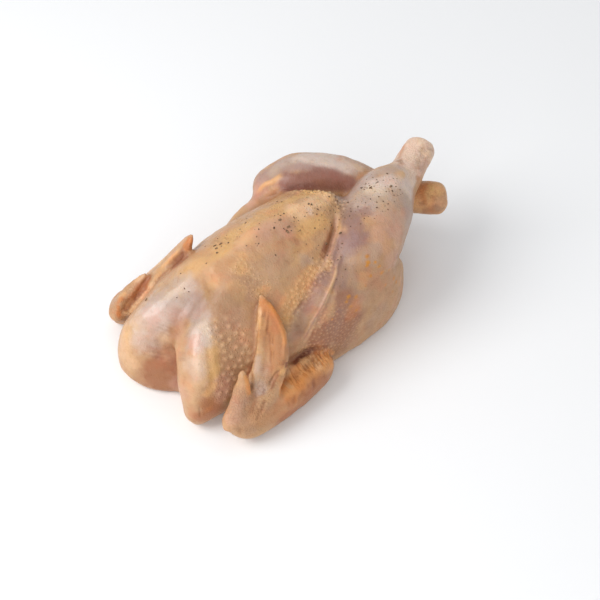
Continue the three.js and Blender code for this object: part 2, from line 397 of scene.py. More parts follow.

# Fine creases, drawn at random beside a line. They also darken the colour below as painted shade.
creases = {
    "lines": [  # line, which way each crease runs and how far, how many, their radius and depth
        ([(65, -52, 33), (64, -40, 32), (62, -24, 29)], (0.72, -0.25, -0.35), 12, 24, 0.8, 0.4),
        ([(77, -64, 25), (76, -50, 26), (72, -33, 28)], (0.25, -0.3, -0.9), 10, 14, 1.1, 0.3),
        ([(40, -54, 78), (52, -60, 63), (60, -66, 52)], (0.5, -0.45, -0.74), 13, 16, 0.8, 0.3),
        ([(66, -74, 41), (71, -80, 34), (74, -88, 28)], (0.4, -0.7, -0.5), 7, 12, 0.8, 0.4),
        ([(60, -98, 36), (66, -102, 26), (72, -100, 20)], (0.3, -0.5, -0.8), 8, 9, 0.9, 0.3),
        ([(-59, -106, 26), (-57, -95, 38), (-56, -87, 43)], (0.1, 0.7, 0.7), 12, 9, 0.8, 0.22),
        ([(-66, -26, 24), (-70, -60, 26), (-72, -90, 22)], (-0.6, -0.2, -0.75), 10, 22, 0.9, 0.5),
        ([(26, -34, 86), (22, -10, 90), (18, 12, 90)], (0.1, 0.95, 0.2), 22, 16, 1.2, 0.1),
        ([(11, 104, 92), (6, 116, 95), (5, 124, 94)], (0.9, 0.25, -0.3), 10, 16, 0.8, 0.34),
        ([(20, 106, 66), (26, 116, 64), (29, 124, 62)], (0.9, -0.1, -0.4), 9, 10, 0.8, 0.28),
    ],
    "seed": 11,
    "beside": 2,
    "lengths": (0.5, 1.1),
    "depths": (0.5, 1.1),
    "darkFrom": 0.6,  # a crease this deep takes the whole painted shade
}

follicles = {
    "patches": [  # line, radius of the patch, gap between them, their radius, height and paleness
        ([(31, -82, 68), (37, -79, 60), (43, -84, 46), (47, -92, 32)], 10, 4.6, 1.6, 0.75, 0.7),
        ([(34, 3, 76), (37, -14, 73), (40, -28, 70),
          (43, -38, 63), (43, -46, 56)], 7, 3.0, 1.15, 0.5, 0.6),
        ([(-20, 25, 90), (-12, 30, 92), (2, 38, 91), (8, 39, 88)], 5, 2.8, 1.15, 1.1, 0.6),
        ([(-56, -103, 21), (-52, -97, 32), (-49, -90, 42), (-47, -83, 50)], 2.5, 2.6, 1.0, 0.5, 0.5),
        ([(60, -11, 49), (61, -19, 39), (62, -2, 30), (60, -26, 33)], 13, 2.7, 0.85, 0.35, 0.9),
        ([(12, -50, 90), (20, -50, 85), (27, -47, 81)], 7, 2.7, 0.85, 0.25, 0.5),
        ([(-22, -31, 92), (-16, -1, 95), (-6, 25, 95)], 16, 2.8, 0.9, 0.18, 0.2),
        ([(18, 66, 98), (26, 73, 95), (20, 55, 97)], 12, 3.2, 0.8, 0.1, 0.35),
        ([(-66, -20, 40), (-70, -5, 26), (-70, 12, 18)], 14, 3.0, 1.0, 0.3, 0.6),
    ],
    "seed": 4,
    "finePatches": 5,  # the mesh is finer in this many of them, from the first on
    "heights": (0.6, 1.2),
    "topRadius": 0.8,  # of the pale top, as a share of the follicle's
}
patchEdge = 1.6  # how far a patch of follicles or pepper reaches, in its radii
patchLeast = 0.15  # and how weak it may get before it holds none

piece = copyOfNode("chicken", "bird")
solid = BVHTree.FromObject(piece, bpy.context.evaluated_depsgraph_get())


# The place of a mark. A mark is a pixel of the camera's picture, counted across and down from the
# upper left corner, and its place is what the camera sees of the bird there. A mark of three
# numbers is a place already.
def placeOf(mark):
    if len(mark) == 3:
        return np.array(mark)
    across, down = (((pixel + 0.5) / camera["picture"] - 0.5) * camera["film"] for pixel in mark)
    way = turnTowards(camera["place"], camera["target"]) @ Vector((across, -down, -camera["lens"]))
    seen, out, face, distance = solid.ray_cast(Vector(camera["place"]), way.normalized())
    return perMetre * np.array(seen)


for place, radius, move in bird["pulls"]:
    for vertex in piece.data.vertices:
        distance = (perMetre * vertex.co - Vector(place)).length
        share = math.exp(-(distance / radius) ** 2)
        vertex.co += share / perMetre * Vector(move)
remesh(piece, bird["voxel"])
clay = Clay(piece.data)
print("remeshed", clay.count, "vertices")

onWing = clay.beside(bird["wingLines"], *bird["wingWidth"])
thin = np.maximum(onWing, clay.beside(bird["legEnds"], *bird["legWidth"]))
softness = 1 - (1 - bird["thinSoften"]) * thin
clay.at = clay.smoothed(bird["soften"], softness[:, None])
clay.settle()
for line, radius, steps in bird["fills"]:
    distance, share, foot = clay.near(line, bird["fillReach"] * radius, gap=3)
    clay.fill(np.exp(-(distance / radius) ** 2), steps)
    clay.settle()
print("softened")

for line, radius, height in bird["strokes"]:
    clay.stroke(line, radius, height)
clay.settle()
evenness = 1 - bird["wingEvenness"] * onWing
for number, (size, height) in enumerate(bird["lumps"]):
    clay.at += clay.out * (height * clay.noiseAt(size, number) * evenness)[:, None]
clay.settle()
print("strokes are in")


def patchWeight(clay, line, radius):
    distance, share, foot = clay.near(line, patchEdge * radius, gap=3)
    return smoothStep(patchEdge - distance / radius)


# The strongest of several patches at each vertex. A patch is a line and a radius.
def patchesWeight(clay, patches):
    weight = np.zeros(clay.count)
    for line, radius in patches:
        weight = np.maximum(weight, patchWeight(clay, line, radius))
    return weight


finePatches = [patch[:2] for patch in follicles["patches"][:follicles["finePatches"]]]
for line, radius, height in bird["fineStrokes"]:
    finePatches.append((line, 2 * radius + bird["fineMargin"]))
refine(piece, patchesWeight(clay, finePatches))
clay = Clay(piece.data)
print("refined", clay.count, "vertices")


# Vertices in random order, each at least gap from those already taken.
def spaced(clay, weight, gap, draw):
    order = list(np.flatnonzero(weight > patchLeast))
    draw.shuffle(order)
    steps = [(i, j, k) for i in (-1, 0, 1) for j in (-1, 0, 1) for k in (-1, 0, 1)]
    cells = {}
    taken = []
    for index in order:
        if draw.random() > weight[index]:
            continue
        cell = tuple(np.floor(clay.at[index] / gap).astype(int))
        around = [(cell[0] + i, cell[1] + j, cell[2] + k) for i, j, k in steps]
        others = [other for key in around for other in cells.get(key, [])]
        if all(np.linalg.norm(clay.at[index] - clay.at[other]) > gap for other in others):
            cells.setdefault(cell, []).append(index)
            taken.append(index)
    return taken


for line, radius, height in bird["fineStrokes"]:
    clay.stroke(line, radius, height)
clay.settle()

draw = random.Random(creases["seed"])
aside = creases["beside"]
# How much painted shade each vertex takes from the creases.
creased = np.zeros(clay.count)
for base, way, length, count, radius, depth in creases["lines"]:
    path = smoothLine(base, gap=2)
    for number in range(count):
        start = path[draw.randrange(len(path))].copy()
        start += [draw.uniform(-aside, aside) for axis in range(3)]
        end = start + np.array(way) * length * draw.uniform(*creases["lengths"])
        line = [clay.at[clay.nearest(start + (end - start) * share)] for share in (0, 0.5, 1)]
        deep = depth * draw.uniform(*creases["depths"])
        weight = clay.stroke(line, radius, -deep)
        creased = np.maximum(creased, min(1, deep / creases["darkFrom"]) * weight)
clay.settle()
print("creases are in")

draw = random.Random(follicles["seed"])
lift = np.zeros(clay.count)
bumps = np.zeros(clay.count)
tops = np.zeros(clay.count)
for line, radius, gap, size, height, paleness in follicles["patches"]:
    weight = patchWeight(clay, line, radius)
    bumps = np.maximum(bumps, weight)
    for index in spaced(clay, weight, gap, draw):
        distance = np.linalg.norm(clay.at - clay.at[index], axis=1)
        tall = height * draw.uniform(*follicles["heights"]) * weight[index]
        lift += tall * np.exp(-(distance / size) ** 2)
        top = np.exp(-(distance / (follicles["topRadius"] * size)) ** 2)
        tops = np.maximum(tops, paleness * weight[index] * top)
clay.at += clay.out * lift[:, None]
clay.at[:, 2] = np.maximum(clay.at[:, 2], 0)
clay.settle()
print("follicles are in")

# The colours of the skin, with some painted shade and painted highlight among them, and where each
# lies over the ones before it. A zone's line is a row of marks on the camera's picture or, where
# the camera doesn't see the bird, of places.
tints = {
    "skin": (0.50, 0.285, 0.148),
    "tan": (0.45, 0.25, 0.125),
    "olive": (0.30, 0.165, 0.075),
    "yellow": (0.61, 0.35, 0.14),
    "cream": (0.70, 0.44, 0.25),
    "blush": (0.62, 0.38, 0.26),
    "pale": (0.72, 0.52, 0.40),
    "pearl": (0.64, 0.49, 0.41),
    "lilac": (0.45, 0.325, 0.265),
    "slate": (0.38, 0.24, 0.20),
    "grey": (0.43, 0.265, 0.17),
    "mauve": (0.385, 0.21, 0.12),
    "violet": (0.28, 0.165, 0.13),
    "bruise": (0.245, 0.135, 0.125),
    "rose": (0.56, 0.31, 0.22),
    "plum": (0.27, 0.12, 0.085),
    "flank": (0.34, 0.145, 0.075),
    "brown": (0.33, 0.135, 0.062),
    "rustBrown": (0.38, 0.145, 0.058),
    "umber": (0.22, 0.08, 0.045),
    # a near-black used for the painted shadow in the crease between the near thumb and the hand
    "deep": (0.12, 0.04, 0.025),
    # orange made lighter where the forearm's top edge is lit, partly painted highlight
    "litOrange": (0.85, 0.42, 0.16),
    "orange": (0.70, 0.28, 0.075),
    "rust": (0.50, 0.185, 0.055),
    "rustTan": (0.44, 0.20, 0.08),
    "dusk": (0.34, 0.175, 0.115),
    "amber": (0.64, 0.345, 0.15),
    "spot": (0.56, 0.23, 0.03),
}
zones = [  # tint, radius, strength, line
    # breast: yellow fat along the ridge and at the rear, muscle showing between
    ("yellow", 10, 0.85, [(222, 245), (240, 230), (262, 215), (285, 204)]),
    ("yellow", 6, 0.9, [(292, 197), (304, 193), (318, 192), (330, 197)]),
    ("amber", 3, 0.7, [(332, 199), (337, 203)]),
    ("yellow", 8, 0.6, [(205, 258), (190, 268), (175, 281)]),
    # the line below the front of the breastbone ridge, darker as painted shade
    ("rust", 4, 0.2, [(233, 257), (222, 266), (212, 278)]),
    ("cream", 8, 0.85, [(298, 210), (310, 204), (319, 201)]),
    ("pale", 4, 0.5, [(306, 212), (312, 210)]),
    ("rose", 8, 0.3, [(243, 243), (258, 238), (275, 232)]),
    ("yellow", 6, 0.85, [(302, 232), (312, 226), (321, 218)]),
    ("amber", 3, 0.5, [(321, 222), (322, 226)]),
    ("tan", 4, 0.5, [(328, 206), (330, 220)]),
    ("rose", 8, 0.5, [(268, 229), (284, 227)]),
    ("yellow", 6, 0.6, [(242, 268), (250, 280), (260, 288)]),
    ("yellow", 5, 0.5, [(308, 245), (294, 258), (280, 270)]),
    ("grey", 9, 0.6, [(258, 272), (272, 266), (284, 262)]),
    ("mauve", 12, 0.85, [(222, 298), (238, 293), (226, 315), (212, 300)]),
    ("mauve", 8, 0.7, [(240, 318), (246, 308)]),
    ("yellow", 5, 0.35, [(215, 282), (205, 292)]),
    ("lilac", 5, 0.4, [(305, 258), (309, 265)]),
    ("amber", 5, 0.35, [(243, 256), (236, 262)]),
    ("yellow", 5, 0.4, [(230, 286), (238, 292)]),
    ("amber", 3, 0.5, [(246, 253), (240, 258)]),
    ("olive", 8, 0.5, [(212, 298), (222, 300), (233, 298)]),
    ("cream", 3, 0.4, [(338, 213), (341, 217)]),
    # front: the two halves and the groove between them
    ("lilac", 10, 0.75, [(158, 298), (172, 290), (185, 288)]),
    # lilac on top of the far half, partly painted highlight
    ("lilac", 9, 0.85, [(150, 310), (160, 320), (166, 304)]),
    ("grey", 8, 0.6, [(140, 335), (150, 345), (158, 335)]),
    ("cream", 7, 0.5, [(124, 335), (123, 350), (128, 362)]),
    ("lilac", 9, 0.9, [(188, 306), (195, 320), (199, 334)]),
    # pale along the crest of the near half, partly painted highlight
    ("pearl", 6, 0.7, [(200, 332), (204, 346), (203, 360)]),
    ("rose", 7, 0.5, [(176, 318), (178, 332)]),
    # brown low in the groove and along its wall, partly painted shade
    ("brown", 10, 0.9, [(158, 366), (170, 378), (150, 380), (165, 388)]),
    ("brown", 6, 0.6, [(172, 350), (175, 362)]),
    ("rose", 6, 0.45, [(176, 385), (184, 395)]),
    # partly painted highlight lower on the near crest
    ("cream", 6, 0.7, [(203, 362), (205, 380)]),
    ("yellow", 4, 0.9, [(211, 342), (213, 358), (214, 375), (216, 392)]),
    ("rustBrown", 7, 0.85, [(205, 403), (212, 410), (200, 417)]),
    ("rust", 3.5, 0.5, [(207, 407), (209, 412)]),
    ("rose", 6, 0.7, [(222, 380), (224, 395)]),
    ("mauve", 7, 0.4, [(232, 340), (234, 356), (230, 370)]),
    # pale on the far half, partly painted highlight
    ("pearl", 9, 0.45, [(139, 322), (150, 329), (158, 324)]),
    ("cream", 5, 0.4, [(163, 340), (168, 350), (175, 351)]),
    ("amber", 3, 0.9, [(213, 380), (209, 390), (203, 398)]),
    ("rustBrown", 5, 0.4, [(216, 410), (224, 410)]),
    ("cream", 6, 0.35, [(194, 388), (195, 400)]),
    # pale patches on both halves, partly painted highlight
    ("pearl", 6, 0.35, [(190, 366), (195, 374)]),
    ("pearl", 7, 0.6, [(140, 338), (142, 346), (150, 345)]),
    ("rose", 4, 0.6, [(194, 333), (194, 348)]),
    ("mauve", 4, 0.5, [(181, 350), (180, 362)]),
    ("mauve", 4, 0.4, [(158, 334), (163, 337)]),
    # band of follicles beside the fold of the near leg, and the fold
    ("amber", 6, 0.9, [(312, 272), (303, 285), (291, 298), (284, 311)]),
    ("amber", 5, 0.8, [(286, 318), (281, 330)]),
    ("dusk", 5, 1, [(322, 278), (314, 293), (306, 309)]),
    ("violet", 3, 0.6, [(328, 270), (320, 284)]),
    ("grey", 6, 0.9, [(300, 318), (294, 334), (288, 350)]),
    # the dark gap between the breast and the near leg, painted shade
    ("brown", 2.6, 0.75, [(332, 230), (328, 240), (324, 251), (319, 261)]),
    ("umber", 1.8, 0.6, [(326, 241), (322, 252)]),
    ("cream", 2, 0.6, [(335, 207), (336, 218)]),
    ("blush", 2, 0.9, [(336, 210), (335, 226), (333, 240), (327, 256), (320, 269), (312, 283)]),
    # near leg
    ("rose", 10, 0.6, [(380, 212), (392, 222), (384, 238)]),
    ("lilac", 13, 0.95, [(350, 194), (360, 184), (372, 190), (360, 202)]),
    # pale on top of the calf, partly painted highlight
    ("pearl", 8, 0.85, [(378, 184), (390, 181), (402, 183)]),
    ("pearl", 4, 0.7, [(376, 186), (384, 188)]),
    ("pale", 3, 0.6, [(388, 180), (398, 186)]),
    ("lilac", 18, 0.5, [(36, 74, 84), (42, 66, 74)]),
    ("lilac", 9, 0.8, [(406, 198), (408, 214)]),
    ("rose", 7, 0.6, [(396, 232)]),
    ("bruise", 8, 0.8, [(352, 218), (356, 228), (360, 238)]),
    ("plum", 4, 0.5, [(362, 206), (368, 216)]),
    ("violet", 5, 0.5, [(346, 208), (348, 222)]),
    ("rose", 4, 0.5, [(341, 228), (342, 240)]),
    ("slate", 7, 0.7, [(354, 256), (354, 268)]),
    ("bruise", 9, 0.8, [(346, 243), (349, 256)]),
    ("violet", 7, 0.9, [(346, 258), (345, 268), (341, 279)]),
    ("grey", 8, 0.8, [(357, 262), (355, 280), (362, 295)]),
    ("mauve", 6, 0.6, [(366, 256), (362, 270)]),
    ("tan", 12, 0.7, [(374, 262), (374, 285), (368, 305)]),
    ("tan", 9, 0.7, [(388, 275), (390, 292)]),
    ("lilac", 6, 0.45, [(376, 250), (370, 255)]),
    ("rose", 6, 0.5, [(388, 250), (394, 262)]),
    ("grey", 8, 0.6, [(380, 310), (372, 322)]),
    ("flank", 13, 0.95, [(330, 330), (322, 342), (345, 325), (340, 340)]),
    ("mauve", 8, 0.5, [(352, 338), (345, 345)]),
    ("rust", 5, 0.6, [(352, 302), (350, 315), (356, 308)]),
    ("amber", 4, 0.45, [(365, 270), (360, 290)]),
    ("grey", 4, 0.8, [(331, 290), (322, 310), (312, 328)]),
    ("violet", 5, 0.5, [(342, 285), (343, 295)]),
    ("dusk", 7, 0.8, [(345, 297), (341, 311), (336, 322)]),
    ("flank", 7, 0.5, [(345, 300), (340, 311), (335, 324)]),
    ("violet", 4, 0.4, [(341, 308), (338, 314)]),
    ("violet", 4, 0.6, [(336, 266), (334, 274)]),
    ("violet", 4, 0.4, [(330, 280), (326, 288)]),
    ("violet", 5, 0.5, [(320, 296), (317, 304)]),
    ("amber", 4, 0.6, [(401, 276), (399, 286)]),
    ("blush", 5, 0.6, [(401, 215), (398, 230), (395, 242)]),
    # the pale line of the thin fold, partly painted highlight along its crest
    ("rose", 1.7, 0.35, [(344, 240), (336, 262), (331, 281), (320, 309), (309, 330), (300, 347)]),
    ("cream", 1.1, 0.5, [(342, 250), (337, 264), (333, 280), (322, 309), (311, 330), (301, 347)]),
    # far leg, pale lilac on top, partly painted highlight, and dark underneath as painted shade
    ("grey", 10, 0.8, [(256, 188), (262, 180), (272, 171)]),
    ("slate", 8, 0.9, [(262, 178), (270, 171), (282, 165)]),
    ("lilac", 9, 0.95, [(280, 165), (292, 160), (306, 157)]),
    ("pearl", 6, 0.8, [(298, 156), (315, 154), (332, 156)]),
    ("pearl", 5, 0.6, [(345, 161), (358, 166)]),
    ("rose", 5, 0.6, [(250, 205), (256, 195), (264, 186)]),
    ("lilac", 4, 0.9, [(290, 163), (310, 162), (334, 164), (350, 169)]),
    ("slate", 4, 0.9, [(272, 178), (288, 168), (310, 167), (334, 169), (352, 176)]),
    ("plum", 7, 1, [(286, 181), (298, 177), (315, 176), (332, 176), (345, 180)]),
    ("plum", 4, 0.9, [(276, 186), (290, 185), (345, 184)]),
    ("umber", 4.5, 0.75, [(308, 188), (322, 186), (334, 186), (344, 186)]),
    ("amber", 2, 0.9, [(244, 205), (262, 186), (272, 181), (283, 172)]),
    ("rose", 3, 0.5, [(244, 206), (256, 196), (270, 188)]),
    ("pearl", 5, 0.8, [(305, 157), (320, 159), (335, 163), (346, 168)]),
    ("lilac", 3, 0.6, [(350, 170), (358, 174)]),
    ("plum", 3, 0.6, [(345, 182), (349, 187)]),
    # ends of the legs
    ("pale", 14, 0.95, [(408, 150), (415, 146), (424, 152)]),
    ("cream", 6, 0.6, [(404, 165), (402, 175)]),
    ("rose", 4, 0.6, [(418, 172), (424, 166), (428, 158)]),
    ("rose", 4, 0.5, [(412, 162), (408, 170)]),
    ("amber", 14, 0.95, [(424, 196), (432, 194), (440, 200)]),
    ("rust", 5, 0.6, [(420, 190), (424, 186)]),
    ("yellow", 3.5, 0.7, [(424, 191), (432, 197)]),
    ("brown", 4, 0.6, [(420, 211), (430, 211), (440, 208)]),
    ("rust", 2.5, 0.6, [(440, 198)]),
    ("grey", 5, 0.5, [(440, 204), (442, 198)]),
    # pale down the rounded side of the near leg's end, partly painted highlight
    ("pearl", 5, 0.9, [(400, 165), (408, 170), (411, 177), (408, 186)]),
    ("mauve", 3, 0.6, [(396, 161), (403, 160)]),
    ("rust", 2, 0.5, [(404, 143), (400, 152), (397, 159)]),
    ("yellow", 2.5, 0.6, [(436, 190), (441, 195)]),
    ("rust", 2, 0.7, [(421, 187), (423, 196), (424, 206)]),
    ("amber", 2.5, 0.6, [(428, 198), (432, 203)]),
    # pale again down the rounded side of the near leg's end, partly painted highlight
    ("pearl", 6, 0.9, [(402, 166), (409, 172), (411, 180), (407, 188)]),
    ("mauve", 4, 0.7, [(397, 162), (403, 160)]),
    ("pale", 5, 0.7, [(410, 166), (413, 172), (412, 180)]),
    ("yellow", 3.5, 0.9, [(427, 188), (434, 188)]),
    ("rust", 2, 0.8, [(422, 184), (424, 190)]),
    ("mauve", 4, 0.6, [(441, 205), (436, 211)]),
    ("brown", 2, 0.5, [(421, 200), (422, 206)]),
    ("pale", 4, 0.9, [(416, 168), (417, 176)]),
    ("lilac", 6, 0.7, [(371, 173), (384, 169), (395, 167)]),
    ("rose", 3, 0.4, [(398, 163), (404, 166)]),
    # near wing
    ("orange", 9, 0.9, [(292, 386), (303, 376), (316, 367), (328, 358)]),
    # lighter orange on the lit top edge of the forearm, partly painted highlight
    ("litOrange", 3, 0.5, [(290, 379), (302, 370), (316, 361), (328, 356)]),
    ("rust", 3.5, 0.6, [(296, 394), (310, 382)]),
    ("amber", 6, 0.5, [(314, 384), (324, 370)]),
    ("rustBrown", 9, 0.95, [(285, 416), (298, 406), (310, 396), (322, 382)]),
    ("mauve", 9, 0.85, [(248, 410), (256, 420), (266, 415)]),
    ("grey", 5, 0.6, [(255, 408), (258, 416)]),
    ("rose", 6, 0.5, [(236, 402), (232, 414)]),
    ("skin", 5, 0.8, [(238, 392), (241, 380)]),
    ("rust", 5, 0.8, [(264, 303), (268, 312), (273, 320)]),
    ("rustTan", 8, 0.95, [(270, 330), (275, 346), (274, 364)]),
    ("rustTan", 5, 0.8, [(262, 318), (268, 326)]),
    ("rust", 3.4, 0.95, [(266, 302), (273, 310), (279, 322), (282, 336)]),
    ("orange", 2, 0.9, [(266, 300), (274, 309), (280, 321), (284, 336), (284, 348)]),
    ("cream", 1.5, 0.8, [(260, 304), (258, 320), (256, 336), (254, 352)]),
    ("lilac", 4, 0.6, [(257, 352), (257, 366), (260, 382)]),
    ("mauve", 4, 0.6, [(264, 360), (265, 376), (268, 388)]),
    # the dark line where the hand meets the forearm, and the dark crease between the near thumb and the
    # hand, painted shade
    ("brown", 1.1, 0.9, [(285, 356), (281, 368), (274, 380), (270, 392)]),
    ("deep", 0.9, 0.4, [(251, 381), (253, 390), (256, 398)]),
    ("rustTan", 5, 0.5, [(276, 322), (282, 335), (281, 350)]),
    ("amber", 2.5, 0.5, [(281, 364), (282, 374)]),
    ("violet", 1.5, 0.5, [(264, 336), (264, 347)]),
    ("orange", 2.4, 0.75, [(244, 373), (247, 379), (249, 388), (250, 396)]),
    ("mauve", 6, 0.5, [(237, 398), (236, 410)]),
    ("lilac", 3.5, 0.6, [(257, 378), (260, 388), (262, 396)]),
    ("amber", 7, 0.4, [(292, 402), (280, 410), (266, 418), (255, 410)]),
    ("amber", 3.5, 0.8, [(300, 366), (310, 361), (320, 360)]),
    ("orange", 3, 0.7, [(322, 350), (328, 351), (331, 356)]),
    # the dark gap above the near forearm, painted shade
    ("brown", 1.7, 0.95, [(287, 370), (294, 361), (302, 355), (311, 350), (320, 346)]),
    ("rust", 2.6, 0.7, [(261, 299), (263, 306), (266, 312)]),
    ("amber", 2.4, 0.6, [(262, 316), (260, 330)]),
    # painted shade in the gap above the near forearm
    ("umber", 1.8, 0.9, [(288, 369), (295, 361), (302, 355), (311, 350), (317, 347)]),
    # lighter orange on the lit top of the forearm's end, partly painted highlight
    ("litOrange", 2.6, 0.7, [(325, 351), (330, 354), (333, 360)]),
    ("cream", 3, 0.5, [(313, 367), (322, 364)]),
    ("rust", 3.5, 0.6, [(285, 404), (292, 401), (300, 397)]),
    ("rustTan", 6, 0.4, [(280, 412), (267, 420), (255, 412)]),
    ("amber", 2, 0.7, [(283, 368), (281, 376)]),
    ("rust", 2.4, 0.7, [(291, 403), (297, 399)]),
    # painted shade in the gap above the near forearm, towards the elbow
    ("brown", 1.4, 0.6, [(317, 350), (323, 346), (329, 345)]),
    ("lilac", 4, 0.5, [(258, 388), (262, 394)]),
    ("amber", 3.5, 0.9, [(286, 386), (290, 382)]),
    # painted shade at the sharp end of the gap above the near forearm
    ("umber", 1.3, 0.9, [(287, 361), (286, 368)]),
    # far wing
    ("tan", 7, 0.8, [(112, 304), (124, 290), (150, 270)]),
    ("amber", 3, 0.7, [(116, 300), (128, 287)]),
    ("rust", 2, 1, [(117, 302), (118, 312), (120, 322)]),
    ("rustTan", 4, 1, [(120, 314), (130, 303), (140, 291), (150, 281)]),
    ("amber", 2.5, 0.8, [(160, 268), (170, 258), (180, 250)]),
    ("rust", 3.2, 1, [(182, 249), (187, 243), (191, 238)]),
    # dark along the inner face of the far hand, turned from the light, painted shade
    ("umber", 3, 1, [(168, 268), (178, 260), (189, 252)]),
    ("amber", 2, 0.7, [(153, 278), (162, 272)]),
    ("cream", 3, 0.9, [(128, 314), (137, 303), (147, 291), (156, 281)]),
    ("rustBrown", 2.5, 0.7, [(118, 301), (125, 298), (134, 291), (143, 282)]),
    ("brown", 1.5, 0.8, [(122, 313), (131, 303), (139, 294), (147, 285)]),
    # painted shade on the inner face of the far hand
    ("brown", 2.5, 0.6, [(171, 266), (180, 257)]),
    ("rust", 3, 0.7, [(190, 236), (189, 243)]),
    ("cream", 4, 0.5, [(128, 282), (153, 266), (165, 256)]),
    # painted shade on the inner face of the far hand
    ("brown", 4, 1, [(169, 268), (174, 262), (180, 256), (186, 250)]),
    ("rustBrown", 3, 0.9, [(142, 284), (147, 279), (151, 276)]),
    ("rustBrown", 3, 0.6, [(190, 243), (186, 250)]),
    ("rust", 2, 0.7, [(116, 302), (121, 297)]),
    # painted shade on the inner face of the far hand
    ("umber", 2.5, 0.5, [(172, 265), (180, 257)]),
    # painted shade where the far wing meets the body
    ("brown", 1.2, 0.6, [(157, 280), (163, 274), (169, 269)]),
    ("cream", 3, 0.8, [(124, 316), (127, 311)]),
    # the far side, the back and the tail
    ("mauve", 14, 0.6, [(-58, 30, 60), (-64, 10, 46)]),
    ("flank", 13, 0.7, [(-66, -20, 40), (-70, -5, 26), (-70, 12, 18)]),
    ("orange", 8, 0.7, [(-70, -20, 22), (-73, -55, 26), (-70, -85, 30)]),
    ("brown", 8, 0.6, [(-76, -30, 10), (-78, -60, 10), (-76, -90, 10)]),
    ("grey", 14, 0.6, [(-30, 90, 78), (-20, 100, 84)]),
    ("amber", 14, 0.7, [(0, 70, 40), (0, 90, 30)]),
    ("rose", 12, 0.6, [(0, 60, 60), (20, 70, 50)]),
    ("yellow", 16, 0.6, [(0, 60, 4), (0, 20, 0), (0, -40, 0)]),
    ("rose", 14, 0.4, [(30, 30, 2), (-30, 0, 2)]),
]

orangeSpots = {
    "marks": [  # mark and radius on the near thigh
        ((367, 256), 1.0), ((368, 262), 1.2), ((367, 265), 0.9), ((375, 262), 0.8), ((381, 272), 1.3),
        ((388, 269), 0.9), ((379, 266), 0.7), ((385, 285), 0.8), ((394, 278), 1.2), ((396, 282), 1.0),
        ((393, 291), 1.1), ((370, 275), 0.9), ((348, 296), 1.0), ((355, 296), 1.2), ((350, 306), 0.9),
        ((356, 310), 1.0), ((332, 319), 0.9), ((364, 285), 0.7), ((346, 301), 0.8),
    ],
    "strength": 0.95,
    "spread": 1.3,
}

brush = {
    "grain": (16, 7, 3),  # sizes of the noise that makes a zone's edge wander
    "seed": 7,
    "wander": (1.1, 6),  # how far the edge wanders, and the radius from which it does so in full
    "edge": 1.5,  # where a zone ends, in its radii
    "reach": 2.5,  # and where its last wisps are cut off
    "wrap": 1.2,  # how soon a zone stops where the skin turns away
    "depth": (3, 0.9, 1.5),  # how deep it reaches: at least, in radii, and the fade
    "fine": (4, 0.15),  # the radius up to which a line fades at its ends, and over which share
    # how much the creases darken as painted shade, the follicle tops pale, and the ridges lighten as
    # painted highlight
    "creaseShade": 0.6,
    "topShade": 0.5,
    "ridgeShade": 0.12,
}


# Noise of several sizes, each weaker than the one before.
def mottle(clay, sizes, fall=1.6):
    shares = [fall ** -number for number in range(len(sizes))]
    layers = [clay.noiseAt(size, brush["seed"] + number) for number, size in enumerate(sizes)]
    return sum(share * layer for share, layer in zip(shares, layers)) / sum(shares)


# How much of a zone's colour each vertex gets. The zone lies on the side that its line faces.
def zoneWeight(clay, line, radius):
    distance, share, foot = clay.near(line, brush["reach"] * radius, gap=max(1, radius / 3))
    wander, fullRadius = brush["wander"]
    wander *= min(1, radius / fullRadius)
    weight = smoothStep(brush["edge"] - distance / radius + wander * unevenness)
    front = sum(clay.out[clay.nearest(point)] for point in line)
    front /= np.linalg.norm(front)
    weight *= smoothStep(1 + brush["wrap"] * clay.out @ front)
    least, deep, fade = brush["depth"]
    weight *= smoothStep(((clay.at - foot) @ front + max(least, deep * radius)) / fade)
    weight[distance > brush["reach"] * radius] = 0
    fineRadius, endShare = brush["fine"]
    if radius <= fineRadius:
        weight *= smoothStep(np.minimum(share, 1 - share) / endShare)
    return weight


# Lays a colour over the ones that are there.
def lay(tint, colour, weight):
    tint += weight[:, None] * (np.array(colour) - tint)


unevenness = mottle(clay, brush["grain"])
tint = np.tile(np.array(tints["skin"]), (clay.count, 1))
for name, radius, strength, marks in zones:
    line = [placeOf(mark) for mark in marks]
    lay(tint, tints[name], strength * zoneWeight(clay, line, radius))
for mark, radius in orangeSpots["marks"]:
    distance = np.linalg.norm(clay.at - placeOf(mark), axis=1)
    weight = smoothStep(brush["edge"] - distance / (orangeSpots["spread"] * radius) + unevenness)
    lay(tint, tints["spot"], orangeSpots["strength"] * weight)
shade = 1 - np.array(bird["hollowShadeTint"])
# Painted shade in the creases.
tint *= 1 - brush["creaseShade"] * creased[:, None] * shade
lay(tint, tints["cream"], brush["topShade"] * tops)
# Painted shade in the hollows of the skin, and painted highlight a little lighter on its ridges.
for steps, depth, strength in bird["hollows"]:
    below = ((clay.smoothed(steps) - clay.at) * clay.out).sum(1)
    hollow = np.clip(below / depth, -1, 1)[:, None]
    tint *= 1 - strength * np.clip(hollow, 0, 1) * shade
    tint *= 1 + brush["ridgeShade"] * strength * np.clip(-hollow, 0, 1)
print("colours are in")


def keep(mesh, name, values):
    if values.ndim == 2:
        layer = mesh.color_attributes.new(name, "FLOAT_COLOR", "POINT")
        full = np.ones((len(values), 4))
        full[:, :3] = values
        layer.data.foreach_set("color", full.ravel())
    else:
        layer = mesh.attributes.new(name, "FLOAT", "POINT")
        layer.data.foreach_set("value", values)


keep(piece.data, "tint", tint)
keep(piece.data, "bumps", bumps)
keep(piece.data, "wrinkles", patchesWeight(clay, bird["wrinkled"]))
keep(piece.data, "sheen", patchesWeight(clay, bird["wet"]))
keep(piece.data, "streaks", clay.beside(bird["streakLines"], *bird["streakWidth"], gap=1))


